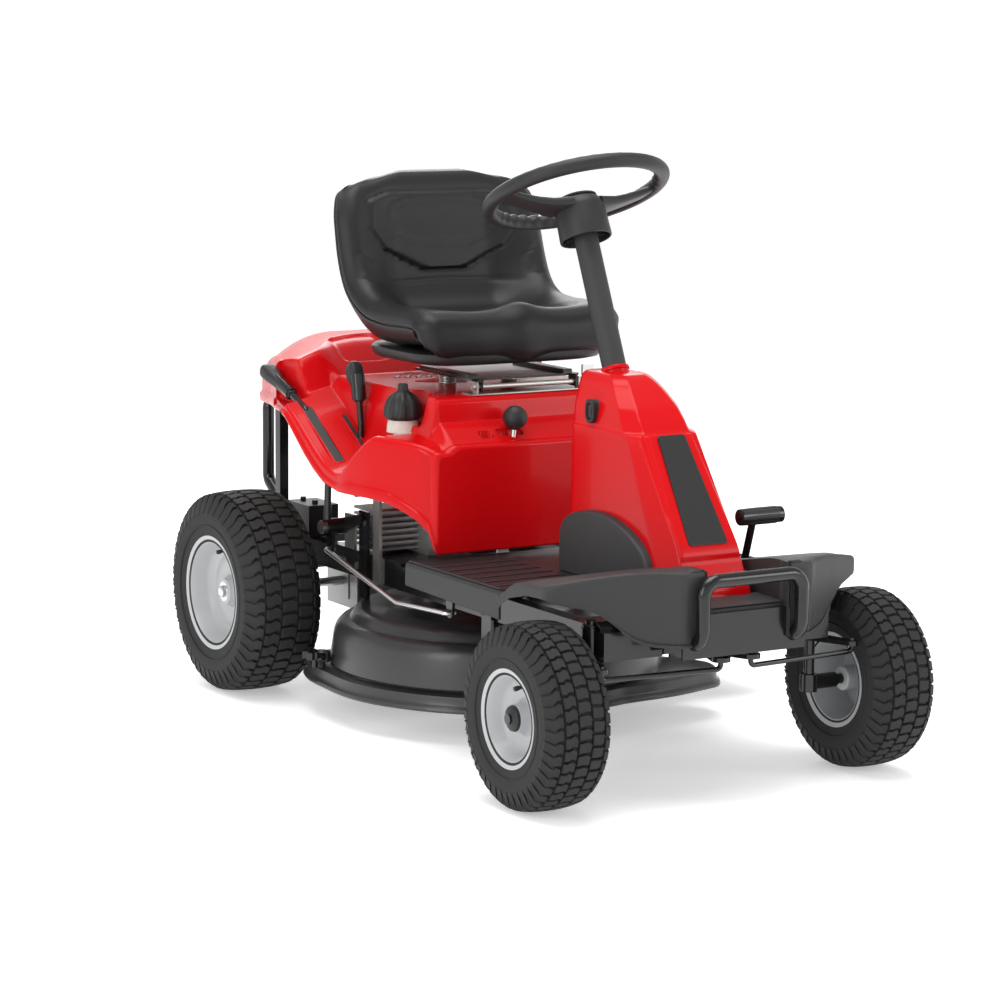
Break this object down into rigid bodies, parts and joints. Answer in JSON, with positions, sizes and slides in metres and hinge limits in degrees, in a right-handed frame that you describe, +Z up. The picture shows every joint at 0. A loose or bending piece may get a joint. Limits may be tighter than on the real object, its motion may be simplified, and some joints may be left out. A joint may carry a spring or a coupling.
{
  "type": "riding lawn mower",
  "caption": "Small ride-on lawn mower: bucket seat, tilted steering wheel, tower and fenders, rear-engine body, round mowing deck with side chute, knobbly tyres.",
  "frame": {"origin": "middle of the machine's footprint, on the ground under the tyres", "axes": "-Y is the front, +X the driver's left, where the discharge chute is, and +Z up"},
  "size_m": [0.9912, 1.6, 1.118],
  "materials": {
    "tyre": "matt",
    "wheel_silver": "satin",
    "red_plastic": "gloss",
    "charcoal_plastic": "matt",
    "grip_plastic": "matt",
    "tank_plastic": "satin",
    "black_metal": "gloss",
    "deck_metal": "satin",
    "bright_steel": "satin",
    "engine_aluminium": "satin",
    "belt_rubber": "matt",
    "battery_plastic": "matt",
    "seat_vinyl": "satin"
  },
  "bodies": {
    "chassis": {"frame": "black_metal", "column_tube": "black_metal", "tower_cover": "red_plastic", "tower_panel": "charcoal_plastic", "fender_moulding": "charcoal_plastic", "running_board": "charcoal_plastic", "front_bumper": "black_metal", "switch_housings": "charcoal_plastic", "rear_body": "red_plastic", "fuel_tank": "tank_plastic", "lever_panel": "charcoal_plastic", "pivots_and_bolts": "bright_steel", "engine_block": "engine_aluminium", "engine_covers": "charcoal_plastic", "drive_belt": "belt_rubber", "blade_belt": "belt_rubber", "muffler": "black_metal", "transaxle_case": "engine_aluminium", "battery": "battery_plastic", "rear_guard": "black_metal", "seat_springs": "bright_steel"},
    "steering_wheel": {"steering_shaft": "bright_steel", "steering_wheel": "grip_plastic", "steering_hub_cap": "grip_plastic"},
    "pinion_shaft": {"pinion_shaft": "bright_steel"},
    "steering_sector": {"steering_sector": "bright_steel"},
    "front_axle": {"axle_beam": "black_metal"},
    "spindle_left": {"spindle_left": "black_metal"},
    "spindle_right": {"spindle_right": "black_metal"},
    "drag_link_left": {"drag_link_left": "bright_steel"},
    "drag_link_right": {"drag_link_right": "bright_steel"},
    "front_wheel_left": {"front_rim_left": "wheel_silver", "front_tyre_left": "tyre"},
    "front_wheel_right": {"front_rim_right": "wheel_silver", "front_tyre_right": "tyre"},
    "rear_wheel_left": {"rear_rim_left": "wheel_silver", "rear_tyre_left": "tyre", "rear_axle_left": "bright_steel"},
    "rear_wheel_right": {"rear_rim_right": "wheel_silver", "rear_tyre_right": "tyre", "rear_axle_right": "bright_steel"},
    "rocker_switch": {"switch_rocker": "charcoal_plastic"},
    "ignition_key": {"ignition_key": "bright_steel"},
    "pedal": {"pedal": "black_metal"},
    "fuel_cap": {"fuel_cap": "charcoal_plastic"},
    "lift_lever": {"lift_lever": "black_metal"},
    "lift_rod": {"lift_rod": "bright_steel"},
    "bell_crank": {"bell_crank": "black_metal"},
    "speed_lever": {"speed_lever": "black_metal"},
    "shifter": {"shifter": "bright_steel"},
    "crankshaft": {"crankshaft": "black_metal"},
    "transaxle_pulley": {"transaxle_pulley": "black_metal"},
    "seat_plate": {"seat_bracket": "black_metal"},
    "seat": {"seat_pan": "black_metal", "seat_cushion": "seat_vinyl"},
    "deck": {"deck_shell": "deck_metal", "deck_fittings": "black_metal"},
    "blade": {"blade_spindle": "bright_steel", "blade": "bright_steel"},
    "chute": {"chute": "charcoal_plastic"}
  },
  "joints": [
    {"name": "steering_turn", "type": "hinge", "parent": "chassis", "child": "steering_wheel", "pos_m": [-0.08038, -0.51326, 0.322], "axis": [0, 0.4067, 0.9135], "range_deg": [-184.5, 184.5]},
    {"name": "pinion_turn", "type": "hinge", "parent": "chassis", "child": "pinion_shaft", "pos_m": [-0.08038, -0.51326, 0.322], "axis": [0, 0, 1], "range_deg": [-185, 185]},
    {"name": "sector_turn", "type": "hinge", "parent": "chassis", "child": "steering_sector", "pos_m": [-0.08038, -0.65326, 0.254], "axis": [0, 0, 1], "range_deg": [-27.5, 27.5]},
    {"name": "axle_rock", "type": "hinge", "parent": "chassis", "child": "front_axle", "pos_m": [-0.08038, -0.661, 0.29], "axis": [0, 1, 0], "range_deg": [-2.5, 2.5]},
    {"name": "spindle_left_turn", "type": "hinge", "parent": "front_axle", "child": "spindle_left", "pos_m": [0.15563, -0.634, 0.284], "axis": [0, 0, 1], "range_deg": [-27.5, 27.5]},
    {"name": "link_left_swing", "type": "hinge", "parent": "spindle_left", "child": "drag_link_left", "pos_m": [0.18762, -0.719, 0.251], "axis": [0, 0, 1], "range_deg": [-27.5, 27.5]},
    {"name": "front_wheel_left_roll", "type": "hinge", "parent": "spindle_left", "child": "front_wheel_left", "pos_m": [0.26622, -0.634, 0.166], "axis": [1, 0, 0], "continuous": true},
    {"name": "rear_wheel_left_roll", "type": "hinge", "parent": "chassis", "child": "rear_wheel_left", "pos_m": [0.25238, 0.515, 0.203], "axis": [1, 0, 0], "continuous": true},
    {"name": "spindle_right_turn", "type": "hinge", "parent": "front_axle", "child": "spindle_right", "pos_m": [-0.31638, -0.634, 0.284], "axis": [0, 0, 1], "range_deg": [-27.5, 27.5]},
    {"name": "link_right_swing", "type": "hinge", "parent": "spindle_right", "child": "drag_link_right", "pos_m": [-0.34837, -0.719, 0.251], "axis": [0, 0, 1], "range_deg": [-27.5, 27.5]},
    {"name": "front_wheel_right_roll", "type": "hinge", "parent": "spindle_right", "child": "front_wheel_right", "pos_m": [-0.42697, -0.634, 0.166], "axis": [1, 0, 0], "continuous": true},
    {"name": "rear_wheel_right_roll", "type": "hinge", "parent": "chassis", "child": "rear_wheel_right", "pos_m": [-0.41313, 0.515, 0.203], "axis": [1, 0, 0], "continuous": true},
    {"name": "rocker_tip", "type": "hinge", "parent": "chassis", "child": "rocker_switch", "pos_m": [-0.15138, -0.372, 0.652], "axis": [0, 1, 0], "range_deg": [-6, 6]},
    {"name": "key_turn", "type": "hinge", "parent": "chassis", "child": "ignition_key", "pos_m": [0.10963, 0.056, 0.65], "axis": [0, 0, -1], "range_deg": [0, 70]},
    {"name": "pedal_press", "type": "hinge", "parent": "chassis", "child": "pedal", "pos_m": [0.06963, -0.524, 0.316], "axis": [1, 0, 0], "range_deg": [0, 14], "stiffness_Nm_per_rad": 12, "springref_deg": -20.05},
    {"name": "fuel_cap_unscrew", "type": "hinge", "parent": "chassis", "child": "fuel_cap", "pos_m": [-0.30238, 0.063, 0.61], "axis": [0, 0, 1], "range_deg": [0, 360]},
    {"name": "lift_lever_swing", "type": "hinge", "parent": "chassis", "child": "lift_lever", "pos_m": [-0.30038, 0.336, 0.35], "axis": [1, 0, 0], "range_deg": [0, 34.4]},
    {"name": "lift_rod_swing", "type": "hinge", "parent": "lift_lever", "child": "lift_rod", "pos_m": [-0.31338, 0.336, 0.305], "axis": [1, 0, 0], "range_deg": [-34.9, 0.5]},
    {"name": "bell_crank_swing", "type": "hinge", "parent": "chassis", "child": "bell_crank", "pos_m": [-0.30038, -0.142, 0.3], "axis": [1, 0, 0], "range_deg": [-0.5, 34.9]},
    {"name": "deck_travel", "type": "slide", "parent": "chassis", "child": "deck", "axis": [0, 0, -1], "range_m": [-0.0005, 0.0449], "deforming": ["blade_belt"]},
    {"name": "speed_lever_swing", "type": "hinge", "parent": "chassis", "child": "speed_lever", "pos_m": [-0.31038, 0.215, 0.44], "axis": [1, 0, 0], "range_deg": [-11, 14]},
    {"name": "shifter_swing", "type": "hinge", "parent": "chassis", "child": "shifter", "pos_m": [-0.15837, -0.09, 0.47], "axis": [0, 1, 0], "range_deg": [-14, 9]},
    {"name": "engine_spin", "type": "hinge", "parent": "chassis", "child": "crankshaft", "pos_m": [-0.08038, 0.271, 0.3], "axis": [0, 0, 1], "continuous": true},
    {"name": "transaxle_spin", "type": "hinge", "parent": "chassis", "child": "transaxle_pulley", "pos_m": [-0.08038, 0.515, 0.27], "axis": [0, 0, 1], "continuous": true},
    {"name": "seat_tip", "type": "hinge", "parent": "chassis", "child": "seat_plate", "pos_m": [-0.08038, -0.028, 0.661], "axis": [1, 0, 0], "range_deg": [0, 32]},
    {"name": "seat_slide", "type": "slide", "parent": "seat_plate", "child": "seat", "axis": [0, 1, 0], "range_m": [-0.02, 0.02]},
    {"name": "blade_spin", "type": "hinge", "parent": "deck", "child": "blade", "pos_m": [-0.08038, 0.081, 0.15], "axis": [0, 0, 1], "continuous": true},
    {"name": "chute_flip", "type": "hinge", "parent": "deck", "child": "chute", "pos_m": [0.30362, 0.066, 0.186], "axis": [0, -1, 0], "range_deg": [0, 80]}
  ],
  "couplings": [
    {"joint": "pinion_turn", "follows": "steering_turn", "ratio": 1},
    {"joint": "sector_turn", "follows": "steering_turn", "ratio": 0.14634},
    {"joint": "spindle_left_turn", "follows": "steering_turn", "ratio": 0.14634},
    {"joint": "spindle_right_turn", "follows": "steering_turn", "ratio": 0.14634},
    {"joint": "link_left_swing", "follows": "steering_turn", "ratio": -0.14634},
    {"joint": "link_right_swing", "follows": "steering_turn", "ratio": -0.14634},
    {"joint": "lift_rod_swing", "follows": "lift_lever_swing", "ratio": -1},
    {"joint": "bell_crank_swing", "follows": "lift_lever_swing", "ratio": 1},
    {"joint": "deck_travel", "follows": "lift_lever_swing", "m_per_rad": 0.0739},
    {"joint": "blade_spin", "follows": "engine_spin", "ratio": 0.68872},
    {"joint": "transaxle_spin", "follows": "engine_spin", "ratio": 0.57198}
  ]
}
